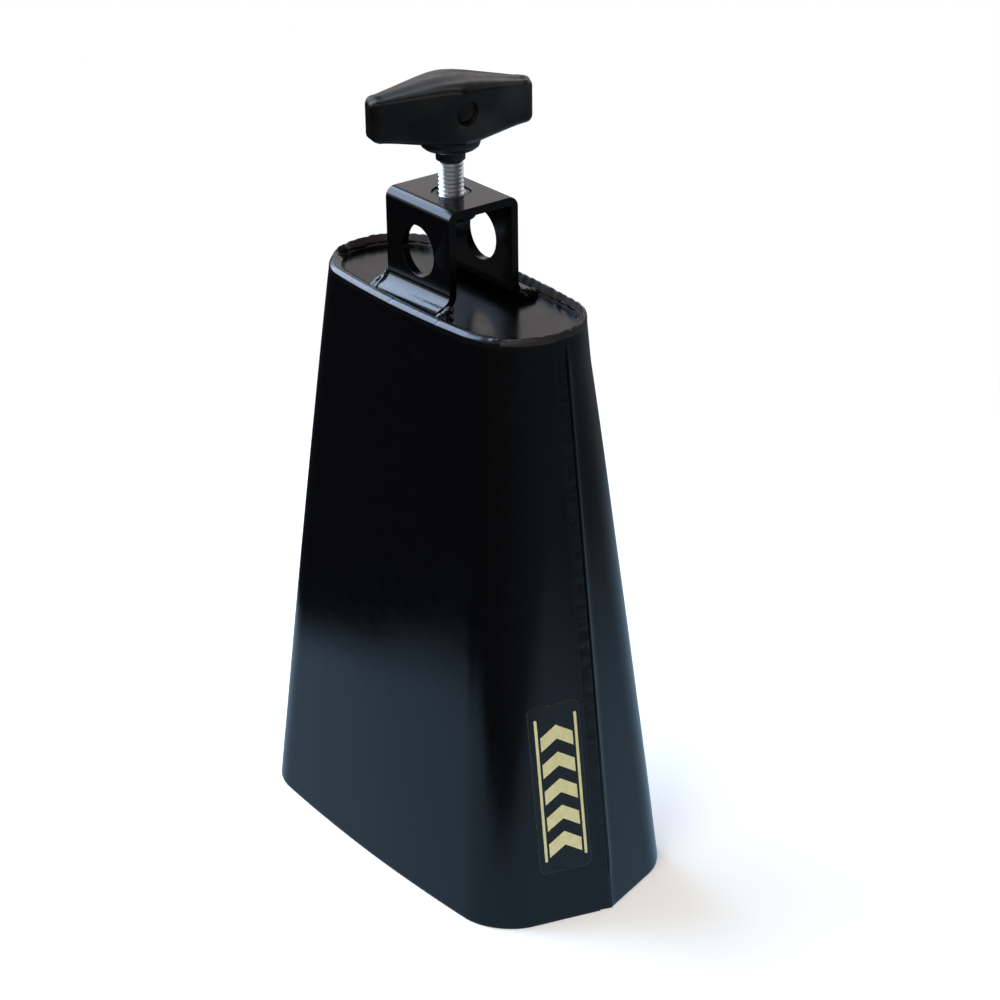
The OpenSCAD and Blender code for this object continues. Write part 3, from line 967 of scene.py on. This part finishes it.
def patch(name, outline, low, high, material, replaced=(), hole=None, step=0.9):
    """Thin solid from low to high mm proud, over a polygon of (arc, z), following the flange."""
    bm = bmesh.new()

    def ring_verts(ring):
        return [bm.verts.new((a, z, 0)) for a, z in ring]

    def ring_edges(verts):
        return [bm.edges.new((verts[i], verts[(i + 1) % len(verts)])) for i in range(len(verts))]

    border = ring_verts(outline)
    if hole:
        edges = ring_edges(border)
        edges += ring_edges(ring_verts(hole))
        bmesh.ops.triangle_fill(bm, use_beauty=True, use_dissolve=False, edges=edges)
    else:
        bm.faces.new(border)
    # small faces, so the patch can bend
    for axis, pitch in ((0, step), (1, step * 2)):
        ends = [p[axis] for p in outline]
        normal = np.eye(3)[axis]
        for place in np.arange(min(ends) + pitch, max(ends) - 0.05, pitch):
            bmesh.ops.bisect_plane(bm, geom=bm.verts[:] + bm.edges[:] + bm.faces[:],
                                   plane_co=tuple(normal * place), plane_no=tuple(normal),
                                   dist=1e-5)
    bmesh.ops.remove_doubles(bm, verts=bm.verts, dist=1e-4)
    bm.verts.index_update()
    flat = [(v.co.x, v.co.y) for v in bm.verts]
    tops = [tuple(v.index for v in f.verts) for f in bm.faces]
    rims = [[v.index for v in e.verts] for e in bm.edges if len(e.link_faces) == 1]
    bm.free()
    count = len(flat)
    verts = [on_flange(a, z, proud) for proud in (high, low) for a, z in flat]
    faces = tops + [tuple(i + count for i in reversed(f)) for f in tops]
    faces += [(a, b, b + count, a + count) for a, b in rims]
    add_mesh(name, verts, faces, material, "cream_film", replaced=replaced, sharp=50)


def round_rect(a0, a1, z0, z1, radius, steps=7):
    points = []
    for a, z, start in ((a1 - radius, z1 - radius, 0), (a0 + radius, z1 - radius, 90),
                        (a0 + radius, z0 + radius, 180), (a1 - radius, z0 + radius, 270)):
        for t in np.linspace(start, start + 90, steps):
            points.append((a + radius * math.cos(math.radians(t)),
                           z + radius * math.sin(math.radians(t))))
    return points


INK = dict(low=0.0, high=0.085, material=mat_ink)
CHEVRON_ARC, CHEVRON_Z, CHEVRON_PITCH = 10.4, 17.6, 7.0
CHEVRON_HALF, CHEVRON_BAND, CHEVRON_RISE = 4.2, 3.6, 2.6

patch("decal_label_film", round_rect(4.1, 17.3, 13.6, 57.0, radius=1.6), low=-0.08, high=0.055,
      material=mat_film, replaced=("decal_label",))
# border ring in the lighter grey: a painted highlight along the film's edge
patch("decal_label_edge", round_rect(3.98, 17.42, 13.5, 57.1, radius=1.7), low=-0.08, high=0.03,
      material=mat_film_edge_highlight, hole=round_rect(4.32, 17.08, 13.82, 56.78, radius=1.5))
# a column of chevrons between two rules
for i in range(5):
    z = CHEVRON_Z + i * CHEVRON_PITCH
    left, right = CHEVRON_ARC - CHEVRON_HALF, CHEVRON_ARC + CHEVRON_HALF
    patch("decal_mark_chevron_%d" % i,
          [(left, z), (CHEVRON_ARC, z + CHEVRON_RISE), (right, z), (right, z + CHEVRON_BAND),
           (CHEVRON_ARC, z + CHEVRON_RISE + CHEVRON_BAND), (left, z + CHEVRON_BAND)], **INK)
for name, arc0, arc1 in (("a", 4.9, 5.6), ("b", 15.2, 15.9)):
    patch("decal_mark_rule_" + name, round_rect(arc0, arc1, 16.6, 54.0, radius=0.3, steps=4),
          **INK)

# ---------------------------------------------------------------- floor
# The glow the paint reflects is a lit patch round the bell. Stops are (turn, value), with turn
# running from -X (0) by the front (0.25), +X (0.5) and the rear (0.75) back to -X (1).
# Edge and softness are in units of 0.5 m.
GLOW_EDGE = [
    (0.0, 0.30), (0.125, 0.30), (0.147, 0.32), (0.165, 0.33), (0.22, 0.335), (0.242, 0.38),
    (0.272, 0.39), (0.288, 0.355), (0.32, 0.275), (0.35, 0.25), (0.368, 0.225), (0.40, 0.25),
    (0.425, 0.34), (0.46, 0.46), (0.52, 0.56), (0.75, 0.46), (0.88, 0.38), (1.0, 0.30)]
GLOW_SOFTNESS = [
    (0.0, 0.07), (0.12, 0.09), (0.15, 0.15), (0.19, 0.17), (0.27, 0.20), (0.33, 0.17),
    (0.39, 0.20), (0.43, 0.40), (0.50, 0.50), (0.75, 0.46), (0.88, 0.25), (1.0, 0.06)]
GLOW_COLOR = (0.28, 0.43, 0.58, 1)
BEYOND_GLOW = [
    (0.0, (0.012, 0.011, 0.014)), (0.22, (0.012, 0.012, 0.014)), (0.33, (0.035, 0.036, 0.04)),
    (0.46, (0.085, 0.10, 0.115)), (0.60, (0.11, 0.13, 0.15)), (0.75, (0.14, 0.155, 0.18)),
    (0.88, (0.05, 0.05, 0.06)), (1.0, (0.012, 0.011, 0.014))]
WHITE = (1, 1, 1, 1)


def seen_paper(tree, position, distance):
    """What the camera sees: pale paper that fades to white far away."""
    grain = node(tree, "TexNoise", {"Scale": 300, "Vector": position})
    paper = node(tree, "BsdfDiffuse", {0: ramp(tree, grain, [(0.3, 0.80), (0.7, 0.83)])})
    lift = node(tree, "Emission", {0: WHITE, 1: 0.42})
    lit_paper = node(tree, "AddShader", {0: paper, 1: lift})
    far = smooth_range(tree, distance, low=0.10, high=0.34)
    return mix_shader(tree, far, lit_paper, node(tree, "Emission"))


def reflected_glow(tree, position, distance):
    """What every other ray sees: the lit patch and the dimmer floor beyond it."""
    xyz = node(tree, "SeparateXYZ", {0: position})
    angle = calc(tree, "ARCTAN2", xyz.outputs[1], xyz.outputs[0])
    turn = calc(tree, "ADD", calc(tree, "MULTIPLY", angle, 1 / (2 * math.pi)), 0.5)
    edge, softness = ramp(tree, turn, GLOW_EDGE), ramp(tree, turn, GLOW_SOFTNESS)
    low, high = (calc(tree, operation, edge, calc(tree, "MULTIPLY", softness, 0.5))
                 for operation in ("SUBTRACT", "ADD"))
    beyond = smooth_range(tree, calc(tree, "MULTIPLY", distance, 2.0), low, high)
    color = node(tree, "Mix", {"Factor": beyond, "A": GLOW_COLOR,
                               "B": ramp(tree, turn, BEYOND_GLOW)}, data_type="RGBA")
    return node(tree, "Emission", {0: color.outputs["Result"]})


def floor():
    mesh = bpy.data.meshes.new("floor")
    reach = 3.0                 # metres
    mesh.from_pydata([(-reach, -reach, 0), (reach, -reach, 0), (reach, reach, 0),
                      (-reach, reach, 0)], [], [(0, 1, 2, 3)])
    obj = bpy.data.objects.new("floor", mesh)
    scene.collection.objects.link(obj)
    obj.location.z = -0.0001
    material = bpy.data.materials.new("floor_paper")
    tree = clear_tree(material)
    camera_ray = node(tree, "LightPath").outputs["Is Camera Ray"]
    geometry = node(tree, "NewGeometry")
    position = geometry.outputs["Position"]
    distance = node(tree, "VectorMath", {0: position}, operation="LENGTH").outputs["Value"]
    surface = mix_shader(tree, camera_ray, reflected_glow(tree, position, distance),
                         seen_paper(tree, position, distance))
    # the camera sees through the floor from below
    from_below = calc(tree, "MULTIPLY", camera_ray, geometry.outputs["Backfacing"])
    shader = mix_shader(tree, from_below, surface, node(tree, "BsdfTransparent"))
    node(tree, "OutputMaterial", {0: shader})
    mesh.materials.append(material)


# ---------------------------------------------------------------- world
def world():
    studio = bpy.data.worlds.new("studio")
    scene.world = studio
    tree = clear_tree(studio)
    direction = node(tree, "TexCoord").outputs["Generated"]
    height = node(tree, "SeparateXYZ", {0: direction}).outputs[2]

    def facing(x, y, low, high):
        """Rises from 0 to 1 as the direction turns towards (x, y)."""
        dot = node(tree, "VectorMath", {0: direction, 1: (x, y, 0.0)}, operation="DOT_PRODUCT")
        return smooth_range(tree, dot.outputs["Value"], low, high)

    # bright wall at the rear left, dimmer near the floor and overhead
    rear = facing(-0.794, 0.608, low=-0.15, high=0.42)
    rear_color = ramp(tree, rear, [(0.0, (0.02, 0.021, 0.024)), (1.0, (0.95, 0.905, 0.92))])
    upper = smooth_range(tree, height, low=0.42, high=0.66, to=(1.0, 0.10))
    lower = smooth_range(tree, height, low=0.05, high=0.20, to=(0.12, 1.0))
    rear_level = calc(tree, "MULTIPLY", upper, lower)

    # a dimmer wall at the front left, divided by the rear wall's share so its level holds
    left = facing(-0.77, -0.64, low=0.72, high=0.92)
    left_height = ramp(tree, height, [(0.0, 0.0), (0.03, 0.85), (0.30, 0.85), (0.42, 0.0)])
    left_level = calc(tree, "DIVIDE", calc(tree, "MULTIPLY", left, left_height),
                      calc(tree, "MAXIMUM", rear, 0.3))
    walls = node(tree, "Background", {
        0: rear_color, 1: calc(tree, "MAXIMUM", rear_level, left_level)})

    # room at the front right, lightest at mid height
    room = node(tree, "Mix", {
        "Factor": 1.0, "A": facing(0.66, -0.75, low=0.42, high=0.78),
        "B": ramp(tree, height, [(0.0, 0.16), (0.10, 0.34), (0.30, 0.62), (0.55, 0.60),
                                 (0.80, 0.12)])}, data_type="RGBA", blend_type="MULTIPLY")
    front = node(tree, "Background", {0: room.outputs["Result"], 1: 0.9})
    surroundings = node(tree, "AddShader", {0: walls, 1: front})
    shader = mix_shader(tree, node(tree, "LightPath").outputs["Is Camera Ray"], surroundings,
                        node(tree, "Background", {0: WHITE}))
    node(tree, "OutputWorld", {0: shader})


# ---------------------------------------------------------------- lights, metres and watts
def area_light(name, direction, distance, size, power, color, target):
    """Rectangular light at a distance from the target along direction, facing the target."""
    light = bpy.data.lights.new(name, "AREA")
    light.shape, light.energy, light.color = "RECTANGLE", power, color
    light.size, light.size_y = size
    obj = bpy.data.objects.new(name, light)
    scene.collection.objects.link(obj)
    towards = Vector(direction).normalized()
    obj.location = Vector(target) + towards * distance
    obj.rotation_mode = "QUATERNION"
    obj.rotation_quaternion = (-towards).to_track_quat("-Z", "Y")
    return obj


def lights():
    place = dict(direction=(-0.70, -0.28, 0.64), distance=0.9, size=(0.95, 0.85),
                 target=(0, 0, 0.15))
    window = area_light("window_left", power=20.0, color=(0.56, 0.725, 1.0), **place)
    soft = area_light("window_left_soft", power=6.0, color=(0.62, 0.76, 1.0), **place)
    # the window skips the top plate and the handle; the soft one lights only the handle
    subjects = bpy.data.collections.new("soft_window_subjects")
    exceptions = bpy.data.collections.new("window_exceptions")
    for name in ("top_plate_panel", "t_handle_wings"):
        exceptions.objects.link(bpy.data.objects[name])
    for item in exceptions.collection_objects:
        item.light_linking.link_state = "EXCLUDE"
    subjects.objects.link(bpy.data.objects["t_handle_wings"])
    window.light_linking.receiver_collection = exceptions
    soft.light_linking.receiver_collection = subjects
    fill = area_light("fill_front", direction=(0.45, -0.85, 0.32), distance=0.9, size=(0.5, 0.5),
                      power=5.2, color=(1.0, 0.91, 0.74), target=(0, 0, 0.10))
    fill.visible_glossy = False
    area_light("overhead", direction=(0.05, 0.1, 1.0), distance=1.1, size=(0.5, 0.5),
               power=0.8, color=(1.0, 0.98, 0.96), target=(0, 0, 0.12))


# ---------------------------------------------------------------- camera
CAMERA_AT = np.array([471.726, -348.140, 376.037]) * MM
CAMERA_TURN, CAMERA_PITCH, CAMERA_ROLL = map(math.radians, (52.566, 26.075, 0.745))
SENSOR_WIDTH, FOCAL_LENGTH = 36, 96.53634


def camera():
    """Camera looking down and to the rear left."""
    forward = np.array([-math.sin(CAMERA_TURN) * math.cos(CAMERA_PITCH),
                        math.cos(CAMERA_TURN) * math.cos(CAMERA_PITCH), -math.sin(CAMERA_PITCH)])
    level = unit(np.cross(forward, [0, 0, 1]))
    below = np.cross(forward, level)
    right = level * math.cos(CAMERA_ROLL) + below * math.sin(CAMERA_ROLL)
    down = -level * math.sin(CAMERA_ROLL) + below * math.cos(CAMERA_ROLL)
    data = bpy.data.cameras.new("camera")
    data.sensor_width, data.lens = SENSOR_WIDTH, FOCAL_LENGTH
    data.clip_start, data.clip_end = 0.01, 20
    obj = bpy.data.objects.new("camera", data)
    scene.collection.objects.link(obj)
    rows = np.c_[right, -down, -forward, CAMERA_AT].tolist()
    obj.matrix_world = Matrix(rows + [[0, 0, 0, 1]])
    scene.camera = obj


floor()
world()
lights()
camera()
scene.view_settings.view_transform = "Standard"
scene.view_settings.look = "None"
